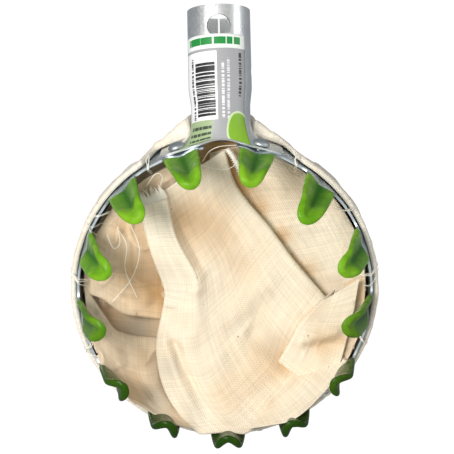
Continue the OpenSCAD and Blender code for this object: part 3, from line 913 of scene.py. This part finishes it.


# The layers of the bunched bag from the lowest to the highest: outlines in mm, with the height
# of each fold. Folds are (line, height, width, sharp); base is each layer's share of painted warm
# shade; the blobs of painted warm and grey shade are (x, y, size, strength).
LAYERS = {
    "bed": dict(
        seed=1, grid=(120, 120), big=1.5, base=0.55,
        top=[(-50, 46, 36), (-20, 64, 36), (0, 68, 34), (22, 63, 36), (50, 46, 38)],
        bottom=[(-49, -48, 46), (-26, -63, 52), (0, -68, 53), (26, -63, 52), (49, -48, 46)],
        left=[(-50, 46, 36), (-66, 16, 38), (-66, -16, 40), (-49, -48, 46)],
        right=[(50, 46, 38), (66, 16, 40), (66, -16, 40), (49, -48, 46)],
        folds=[([(-60, -8), (-45, -20), (-30, -22)], -6, 7, False)],
        warm_tone_and_shade=[(-40, -20, 14, 0.12), (0, 62, 16, 0.4)],
        grey_shade=[(-42, -22, 10, 0.6)]),
    "right_side": dict(
        seed=2, grid=(90, 110), big=1.3, small=0.4, creased=0.4, base=0.16,
        top=[(-6, 63, 38), (8, 66, 38), (22, 63, 39), (38, 54, 41)],
        left=[(-6, 63, 38), (0, 46, 39), (16, 20, 40), (44, -14, 41)],
        right=[(38, 54, 41), (55, 38, 43), (65, 18, 45), (67.5, -4, 47)],
        bottom=[(44, -14, 41), (56, -12, 44), (67.5, -4, 47)],
        folds=[([(20, 60), (28, 40), (44, 14), (60, 0)], 1.6, 9, False),
               ([(10, 46), (30, 28), (52, 2)], 0.7, 1.6, True)],
        warm_tone_and_shade=[(4, 58, 9, 0.75), (9, 47, 7, 0.7), (17, 36, 6, 0.6), (28, 23, 5, 0.5),
              (40, 6, 5, 0.4), (36, 50, 10, 0.15)]),
    "left_side": dict(
        seed=3, grid=(90, 110), big=1.8, small=0.7, creased=1.5, base=0.42,
        top=[(-60, 27, 46), (-49, 43, 46), (-34, 54, 44), (-15, 63, 41)],
        left=[(-60, 27, 46), (-66, 12, 47), (-67.5, 0, 47)],
        right=[(-15, 63, 41), (-20, 40, 40), (-22, 10, 41), (-24, -17, 42)],
        bottom=[(-67.5, 0, 47), (-58, -4, 47), (-50, -11, 46), (-42, -13, 46), (-24, -17, 43)],
        folds=[([(-58, 18), (-44, 4), (-34, -10)], 2.2, 6, False),
               ([(-52, 30), (-38, 16), (-26, 2)], 1.4, 5, False),
               ([(-64, 8), (-52, 0), (-40, -4)], 1.5, 3, False)],
        rolls={"bottom": (1.5, 9)},
        warm_tone_and_shade=[(-38, 6, 14, 0.3), (-30, -6, 10, 0.3), (-44, 28, 9, 0.15)],
        grey_shade=[(-63, 4, 8, 0.15)]),
    "lower_left": dict(
        seed=4, grid=(110, 90), big=2.2, small=0.9, creased=1.6, base=0.4,
        top=[(-67, 0, 49), (-60, -12, 46.5), (-52, -23, 45.5), (-41, -27, 45.5),
             (-20, -28, 46)],
        left=[(-67, 0, 49), (-65, -20, 53), (-58, -37, 58), (-45, -51, 64)],
        right=[(-20, -28, 46), (-22, -44, 49), (-17, -58, 57), (-9, -66, 69)],
        bottom=[(-45, -51, 64), (-29, -60, 69), (-9, -66, 69)],
        folds=[([(-60, -16), (-50, -36), (-40, -52)], 3.6, 5, False),
               ([(-52, -26), (-45, -42), (-33, -58)], -2.6, 3.5, False),
               ([(-44, -30), (-38, -46), (-24, -60)], 3.2, 4, False),
               ([(-30, -30), (-30, -46), (-18, -62)], -2.5, 3.5, False),
               ([(-62, -8), (-50, -26)], 2.2, 2.6, False)],
        rolls={"top": (1.6, 8)},
        warm_tone_and_shade=[(-42, -34, 8, 0.25), (-24, -40, 7, 0.35), (-48, -48, 9, 0.2)],
        grey_shade=[(-62, -8, 10, 0.5), (-27, -34, 9, 0.45), (-46, -34, 8, 0.3),
              (-34, -54, 8, 0.25)]),
    "lower_right": dict(
        seed=5, grid=(90, 80), big=1.0, small=0.3, base=0.06,
        top=[(2, -62, 54), (18, -52, 48), (30, -40, 43), (36, -28, 41)],
        left=[(2, -62, 54), (3, -65, 62), (4, -66, 69)],
        right=[(36, -28, 41), (50, -32, 49), (58, -36, 58)],
        bottom=[(4, -66, 69), (18, -61, 74), (31, -56.5, 79), (45, -48, 70), (58, -36, 58)],
        folds=[([(12, -66), (28, -56), (42, -44)], 2.0, 6, False)],
        warm_tone_and_shade=[(31, -38, 6, 0.7), (40, -36, 6, 0.4), (18, -54, 5, 0.3)]),
    "far_right": dict(
        seed=6, grid=(40, 80), big=0.8, small=0.4, base=0.4,
        top=[(57, 0, 48), (62, 3, 49), (67, 4, 49)],
        left=[(57, 0, 48), (55, -16, 49), (54, -30, 51), (50, -50, 56)],
        right=[(67, 4, 49), (66, -12, 51), (62, -28, 54), (54, -46, 59)],
        bottom=[(50, -50, 56), (54, -46, 59)],
        folds=[([(62, 0), (60, -20), (54, -38)], 1.5, 2.5, False)],
        warm_tone_and_shade=[(62, -4, 6, 0.3)]),
    "main_flap": dict(
        seed=7, grid=(150, 190), big=1.7, small=0.3, creased=0.2, base=0.14,
        top=[(-38, 43, 50), (-28, 47.5, 49), (-15, 56, 47), (0, 65, 45)],
        left=[(-38, 43, 50), (-36, 33, 49), (-32.5, 17, 49), (-27, 0, 48), (-29, -13, 48),
              (-32, -29, 50), (-29, -47, 56), (-21, -59, 64), (-13, -65, 71)],
        right=[(0, 65, 45), (4, 50, 46), (11, 39, 47), (20, 28, 48), (32, 11, 49), (48, -9, 49)],
        bottom=[(-13, -65, 71), (0, -64, 72.5), (9, -64.5, 71), (21, -56, 60), (31, -46, 52),
                (36, -29, 48), (48, -9, 49)],
        folds=[([(-29, 43), (-23, 25), (-12.5, 5), (-14, -6)], 2.4, 3.0, False),
               ([(-26, 42), (-19, 25), (-9, 6)], -2.0, 3.0, False),
               ([(-31, -18), (-26, -36), (-17, -54), (-11, -66)], 2.6, 2.8, False),
               ([(-27, -22), (-21, -38), (-12, -56)], -3.6, 3.0, False),
               ([(-14, -6), (-16, -20), (-24, -30)], 2.2, 7, False),
               ([(28, 8), (16, -2), (2, -16), (-8, -20)], 2.6, 6, False),
               ([(26, -34), (8, -46), (-8, -56)], 2.8, 6, False),
               ([(33, -34), (20, -30), (8, -22)], -2.8, 5.5, False)],
        rolls={"right": (1.4, 7), "left": (1.3, 6), "bottom": (1.3, 5)},
        warm_tone_and_shade=[(-20, 34, 11, 0.42), (-6, 34, 12, 0.3), (-2, 20, 12, 0.25), (10, 8, 10, 0.15),
              (20, -36, 11, 0.35), (0, -50, 12, 0.25), (30, -38, 6, 0.5), (-20, 12, 6, 0.25),
              (-34, -20, 6, 0.1)],
        grey_shade=[(-28, -38, 6, 0.35), (-17, -56, 5, 0.25), (22, -30, 6, 0.2)]),
    "left_strip": dict(
        seed=9, grid=(50, 110), big=0.5, small=0.25, creased=0.2, base=0.04,
        top=[(-38.5, 43.5, 52), (-33, 46, 52), (-28, 46.5, 51.5)],
        left=[(-38.5, 43.5, 52), (-36.5, 33, 51.5), (-33, 17, 51), (-27.5, 0, 50.5), (-28, -9, 50)],
        right=[(-28, 46.5, 51.5), (-23.5, 26, 52.5), (-14, 6, 52), (-14, -4, 50.5), (-19, -10, 49)],
        bottom=[(-28, -9, 50), (-24, -10, 49.5), (-19, -10, 49)],
        rolls={"right": (0.9, 4), "left": (1.1, 4)}),
    "right_flap": dict(
        seed=8, grid=(80, 90), big=0.9, small=0.3, creased=0.5, base=0.10,
        top=[(47, -7, 51.5), (56, -1, 53), (64, 4, 54)],
        left=[(47, -7, 51.5), (38, -17, 52.5), (32.5, -27, 53), (27, -37, 52)],
        right=[(64, 4, 54), (61, -11, 55), (57, -27, 57), (50, -52, 57)],
        bottom=[(27, -37, 52), (35, -43.5, 53), (43, -49, 55), (50, -52, 57)],
        folds=[([(33, -27), (44, -23), (57, -20)], 2.4, 3.0, False),
               ([(36, -31), (46, -29), (56, -27)], -1.8, 3.0, False),
               ([(50, -6), (58, -10), (62, -8)], 1.2, 4, False)],
        rolls={"left": (1.4, 7), "bottom": (1.3, 7)},
        warm_tone_and_shade=[(46, -28, 7, 0.55), (56, -24, 6, 0.4), (42, -14, 8, 0.15)]),
}


def build_folds(cloth):
    """The bag's body, bunched up inside the crown in overlapping folds, as one piece of cloth."""
    points, faces, uv, warm_tone_and_shade, grey_shade = [], [], [], [], []
    for spec in LAYERS.values():
        grid, grid_uv, grid_warm_tone_and_shade, grid_grey_shade = lay_cloth(spec)
        start = sum(len(p) for p in points)
        inside = np.hypot(grid[..., 0], grid[..., 1])
        limit = np.where(grid[..., 2] > RIM + 0.6, 70.0, 67.8)
        shrink = np.minimum(1.0, limit / np.maximum(inside, 1e-6))
        grid[..., :2] *= shrink[..., None]
        points.append(grid.reshape(-1, 3))
        faces += [tuple(start + v for v in f) for f in grid_faces(*grid.shape[:2])]
        uv.append(grid_uv.reshape(-1, 2))
        warm_tone_and_shade.append(grid_warm_tone_and_shade.ravel())
        grey_shade.append(grid_grey_shade.ravel())
    folds = new_mesh("bag_folds", np.concatenate(points), faces, cloth, uv=np.concatenate(uv),
                     attributes={"warm_tone_and_shade": np.concatenate(warm_tone_and_shade), "grey_shade": np.concatenate(grey_shade)})
    thicken(folds, 0.5, -1.0)
    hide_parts("bag_bunch")
    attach(folds, "root")
    return folds


def loop_over_rim(azimuth, lean, inside_z, outside_z, seed, height=57.0):
    """A thread's line from the cloth inside, over the rim, to the hem outside."""
    rng = random.Random(seed)
    line = []
    for k, (r, z) in enumerate(((64.5, inside_z), (66.5, inside_z + 5), (68.2, 55.2),
                                (69.5, height), (71.0, 55.6), (72.6, 53.2),
                                (73.6, outside_z))):
        a = math.radians(azimuth + lean * (k - 3) + rng.uniform(-0.5, 0.5))
        line.append((r * math.sin(a), r * math.cos(a), z + rng.uniform(-0.2, 0.2)))
    return smooth_line(line, 26)


def build_stitches(cotton):
    """The whip stitches over the rim, each a doubled strand."""
    lines = []
    for i in range(PRONGS - 1):
        azimuth = FIRST + (i + 0.5) * PITCH
        for k, shift in enumerate((-0.3, 0.35)):
            lines.append(loop_over_rim(azimuth + shift, 0.6 if i % 2 else -0.7, 46, 50, 10 * i + k))
    stitches = thread("rim_stitches", lines, 0.22, cotton)
    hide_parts("whip_stitches")
    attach(stitches, "root")
    return stitches


def hem_stitches(cotton):
    """Running stitches along the hem: one stitch laid by Geometry Nodes at even steps on an arc."""
    tree = bpy.data.node_groups.new("stitches on a circle", "GeometryNodeTree")
    face = tree.interface
    face.new_socket("Geometry", in_out="INPUT", socket_type="NodeSocketGeometry")
    radius = face.new_socket("Radius", in_out="INPUT", socket_type="NodeSocketFloat")
    height = face.new_socket("Height", in_out="INPUT", socket_type="NodeSocketFloat")
    count = face.new_socket("Count", in_out="INPUT", socket_type="NodeSocketInt")
    long = face.new_socket("Stitch length", in_out="INPUT", socket_type="NodeSocketFloat")
    look = face.new_socket("Material", in_out="INPUT", socket_type="NodeSocketMaterial")
    face.new_socket("Geometry", in_out="OUTPUT", socket_type="NodeSocketGeometry")
    into = tree.nodes.new("NodeGroupInput")
    out = tree.nodes.new("NodeGroupOutput")

    def add(kind, **links):
        """Adds a node, and sets or links its inputs."""
        made = tree.nodes.new(kind)
        for key, value in links.items():
            socket = made.inputs[key.replace("_", " ")]
            if isinstance(value, bpy.types.NodeSocket):
                tree.links.new(value, socket)
            else:
                socket.default_value = value
        return made

    arc = add("GeometryNodeCurveArc", Radius=into.outputs["Radius"], Resolution=128,
              Start_Angle=math.radians(122), Sweep_Angle=math.radians(296))
    evenly = add("GeometryNodeResampleCurve", Curve=arc.outputs[0], Count=into.outputs["Count"])
    lift = add("ShaderNodeCombineXYZ", Z=into.outputs["Height"])
    raised = add("GeometryNodeSetPosition", Geometry=evenly.outputs[0], Offset=lift.outputs[0])
    one = add("GeometryNodeMeshCylinder", Vertices=6, Radius=0.22 * MM,
              Depth=into.outputs["Stitch length"])
    tangent = tree.nodes.new("GeometryNodeInputTangent")
    turn = tree.nodes.new("FunctionNodeAlignRotationToVector")
    turn.axis = "Z"
    tree.links.new(tangent.outputs[0], turn.inputs["Vector"])
    laid = add("GeometryNodeInstanceOnPoints", Points=raised.outputs[0],
               Instance=one.outputs["Mesh"], Rotation=turn.outputs[0])
    real = add("GeometryNodeRealizeInstances", Geometry=laid.outputs[0])
    painted = add("GeometryNodeSetMaterial", Geometry=real.outputs[0],
                  Material=into.outputs["Material"])
    tree.links.new(painted.outputs[0], out.inputs[0])
    holder = new_mesh("hem_stitches", [(0, 0, 0)], [], cotton)
    laying = holder.modifiers.new("stitches", "NODES")
    laying.node_group = tree
    for socket, value in ((radius, 72.2 * MM), (height, 52.4 * MM), (count, 118),
                          (long, 1.9 * MM), (look, cotton)):
        laying[socket.identifier] = value
    finish_mesh(holder, 60)
    return holder


def build_threads(cotton):
    """Loose threads of the bag's raw edges, a few of them over the rim."""
    rng = random.Random(41)
    lines = [
        smooth_line([(-17, 64, 52), (-8, 60, 54), (2, 58.5, 55), (9, 62, 52)], 24),
        smooth_line([(-9, 61, 47), (-6, 66, 50), (-1, 68.6, 51), (8, 68.8, 49)], 24),
        smooth_line([(-51, 37, 50), (-46, 40, 53), (-41, 41, 53), (-37, 44, 50)], 20),
        smooth_line([(-50, 30, 50), (-46, 22, 51), (-47, 10, 51), (-42, -4, 50)], 26),
        smooth_line([(-44, 32, 50), (-40, 20, 52), (-44, 6, 51), (-54, -6, 50)], 26),
        smooth_line([(-55, 28, 53), (-52, 22, 56), (-49, 24, 54), (-50, 31, 51)], 20),
        smooth_line([(-36, 50, 50), (-31, 57, 54), (-28, 55, 53), (-30, 49, 50)], 20),
        loop_over_rim(-63.5, 0.9, 44, 50, 71, 58.5),
        loop_over_rim(-62.0, -0.5, 45, 51, 72, 58.0),
        loop_over_rim(-85.0, 1.4, 45, 50, 73, 57.6),
        loop_over_rim(-116.0, 1.2, 46, 50, 74, 57.8),
        loop_over_rim(88.0, -1.3, 46, 50, 75, 57.8),
    ]
    for f in np.linspace(0, 1, 30):
        x = -39 + 12 * f
        y = 43 + 4.5 * f
        away = rng.uniform(1.5, 5)
        lines.append(smooth_line([(x + 1, y - 2.5, 53.2), (x - 0.3 * away, y + 0.5 * away, 53.6),
                                  (x - 0.7 * away + rng.uniform(-1, 1), y + away, 51.5)], 8))
    return thread("raw_edge_threads", lines, 0.2, cotton, sides=4)


def build_seam(cotton):
    """The overlocked seam: a cord of cloth with loops of thread round it."""
    path = smooth_line([(2.5, 66.5, 45.5), (5, 63, 46), (7.5, 58, 46), (9.5, 53, 45.5)], 60)
    loops = []
    turns = 13
    for k in range(turns * 10 + 1):
        f = k / (turns * 10)
        a = 2 * math.pi * f * turns
        round_path = np.array((1.35 * math.cos(a), 0.4 * math.cos(a), 1.25 * math.sin(a)))
        loops.append(path[int(f * (len(path) - 1))] + round_path)
    core = thread("seam_core", [path], 1.0, cotton, sides=8)
    wound = thread("overlocked_seam", [loops], 0.26, cotton)
    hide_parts("bag_seam")
    return core, wound


# ----------------------------------------------------------------------- stage

def build_stage():
    """A white table under even light, with one large soft key from the upper left."""
    scene = bpy.context.scene
    floor_material = bpy.data.materials.new("white table")
    floor_material.use_nodes = True
    tree = floor_material.node_tree
    tree.nodes.clear()
    glow = node(tree, "Emission", {"Color": (1, 1, 1, 1), "Strength": 1.05})
    out = node(tree, "OutputMaterial")
    tree.links.new(glow.outputs[0], out.inputs[0])
    floor = new_mesh("table", [(-3000, -3000, 0), (3000, -3000, 0), (3000, 3000, 0),
                               (-3000, 3000, 0)], [(0, 1, 2, 3)], floor_material)
    floor.visible_diffuse = False
    floor.visible_glossy = False
    floor.visible_shadow = False
    floor.visible_transmission = False
    floor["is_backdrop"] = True
    world = bpy.data.worlds.new("studio")
    scene.world = world
    world.use_nodes = True
    tree = world.node_tree
    back = tree.nodes["Background"]
    where = node(tree, "TexCoord").outputs["Generated"]
    up = node(tree, "SeparateXYZ", {0: where}).outputs[2]
    tone = ramp(tree, up, -0.15, 0.6)
    tree.links.new(mix(tree, tone, (0.55, 0.57, 0.6, 1), (0.94, 0.92, 0.88, 1)),
                   back.inputs["Color"])
    back.inputs["Strength"].default_value = 0.52
    for name, place, size, power, tint in (
            ("key", (-440, 330, 880), 340, 9.0, (1.0, 0.98, 0.95)),
            ("top", (200, 200, 1300), 900, 1.6, (1.0, 0.99, 0.97)),
            ("low side", (800, 300, 260), 300, 1.2, (1.0, 1.0, 1.0))):
        light = bpy.data.lights.new(name, "AREA")
        light.shape = "SQUARE"
        light.size = size * MM
        light.energy = power
        light.color = tint
        lamp = bpy.data.objects.new(name, light)
        lamp.location = Vector(place) * MM
        aim = Vector((0, 0, 0.05)) - lamp.location
        lamp.rotation_euler = aim.to_track_quat("-Z", "Y").to_euler()
        scene.collection.objects.link(lamp)
    scene.view_settings.view_transform = "Standard"
    scene.view_settings.look = "None"
    scene.view_settings.exposure = 0.0
    scene.view_settings.gamma = 1.0


def build_camera():
    """The camera: a long lens, tilted from the crown's axis towards the socket's side."""
    tilt, roll, distance = math.radians(13.5), math.radians(1.3), 1000.0
    back = Vector((0, math.sin(tilt), math.cos(tilt)))
    flat_up = Vector((0, math.cos(tilt), -math.sin(tilt)))
    side = Vector((1, 0, 0))
    right = side * math.cos(roll) - flat_up * math.sin(roll)
    up = side * math.sin(roll) + flat_up * math.cos(roll)
    place = Vector((0, 0, RIM)) + distance * back + 1.02 * right + 30.2 * up
    data = bpy.data.cameras.new("camera")
    data.lens = 167.5
    data.sensor_width = 36.0
    data.clip_start = 0.05
    camera = bpy.data.objects.new("camera", data)
    turn = Matrix((right, up, back)).transposed().to_4x4()
    camera.matrix_world = Matrix.Translation(place * MM) @ turn
    bpy.context.scene.collection.objects.link(camera)
    bpy.context.scene.camera = camera


# --------------------------------------------------------------- add-on layout

class PickerSettings(bpy.types.PropertyGroup):
    weave: bpy.props.FloatProperty(
        name="Weave pitch", description="Distance between the threads of the calico, in mm",
        default=0.95, min=0.4, max=1.5)
    weave_depth: bpy.props.FloatProperty(
        name="Weave depth", description="Depth of the calico's weave, in mm",
        default=0.18, min=0.02, max=0.5)
    shine: bpy.props.FloatProperty(
        name="Zinc roughness", description="Roughness of the zinc where it is smoothest",
        default=0.2, min=0.05, max=0.6, subtype="FACTOR")


class PICKER_OT_stage(bpy.types.Operator):
    """Builds the table, lights and camera"""
    bl_idname = "picker.stage"
    bl_label = "Stage"

    def execute(self, context):
        build_stage()
        build_camera()
        return {"FINISHED"}


class PICKER_OT_metal(bpy.types.Operator):
    """Builds the crown, the socket and the rivets"""
    bl_idname = "picker.metal"
    bl_label = "Steel parts"

    def execute(self, context):
        shine = context.scene.picker.shine
        build_crown(zinc("zinc, crown", ("#A9BAC6", "#DDE5EA"), shine + 0.1))
        build_socket(zinc("zinc, socket", ("#DCE2E5", "#F4F6F6"), shine + 0.1))
        dome = zinc("zinc, rivets", ("#9AA3A8", "#C9CFD2"), shine + 0.2)
        build_rivet("left", -17.0, dome)
        build_rivet("right", 15.0, dome)
        return {"FINISHED"}


class PICKER_OT_coats(bpy.types.Operator):
    """Builds the thirteen dipped coats"""
    bl_idname = "picker.coats"
    bl_label = "Prong coats"

    def execute(self, context):
        plastic = dipped_plastic()
        for i in range(PRONGS):
            build_coat(i, plastic)
        return {"FINISHED"}


class PICKER_OT_label(bpy.types.Operator):
    """Builds the sticker on the socket"""
    bl_idname = "picker.label"
    bl_label = "Sticker"

    def execute(self, context):
        build_label(sticker())
        return {"FINISHED"}


class PICKER_OT_bag(bpy.types.Operator):
    """Builds the bag: its wall, the folds inside the crown, stitches and threads"""
    bl_idname = "picker.bag"
    bl_label = "Bag"

    def execute(self, context):
        sizes = context.scene.picker
        # the second colour of each calico is the colour of its painted warm shade
        outer = calico("calico, hem and wall", "#FBF6EA", "#DCCBAA", sizes.weave, sizes.weave_depth)
        inner = calico("calico, folds", "#FBF0DB", "#D2A468", sizes.weave, sizes.weave_depth)
        cotton = cotton_thread()
        wall = build_wall(outer)
        folds = build_folds(inner)
        stitches = build_stitches(cotton)
        running = hem_stitches(cotton)
        loose = build_threads(cotton)
        core, wound = build_seam(cotton)
        for piece in (running, loose, core, wound):
            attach(piece, "root")
        return {"FINISHED"}


class PICKER_PT_panel(bpy.types.Panel):
    bl_idname = "PICKER_PT_panel"
    bl_label = "Fruit picker head"
    bl_space_type = "VIEW_3D"
    bl_region_type = "UI"
    bl_category = "Picker"

    def draw(self, context):
        for key in ("weave", "weave_depth", "shine"):
            self.layout.prop(context.scene.picker, key)
        for operator in OPERATORS:
            self.layout.operator(operator.bl_idname)


OPERATORS = (PICKER_OT_stage, PICKER_OT_metal, PICKER_OT_coats, PICKER_OT_label, PICKER_OT_bag)
CLASSES = (PickerSettings,) + OPERATORS + (PICKER_PT_panel,)


def register():
    for cls in CLASSES:
        bpy.utils.register_class(cls)
    bpy.types.Scene.picker = bpy.props.PointerProperty(type=PickerSettings)


def unregister():
    del bpy.types.Scene.picker
    for cls in reversed(CLASSES):
        bpy.utils.unregister_class(cls)


def main():
    def corners():
        return [[float(v) for v in corner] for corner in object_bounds()]

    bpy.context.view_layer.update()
    register()
    bpy.ops.picker.stage()
    bpy.ops.picker.metal()
    bpy.ops.picker.coats()
    bpy.ops.picker.label()
    bpy.ops.picker.bag()


if __name__ == "__main__":
    main()
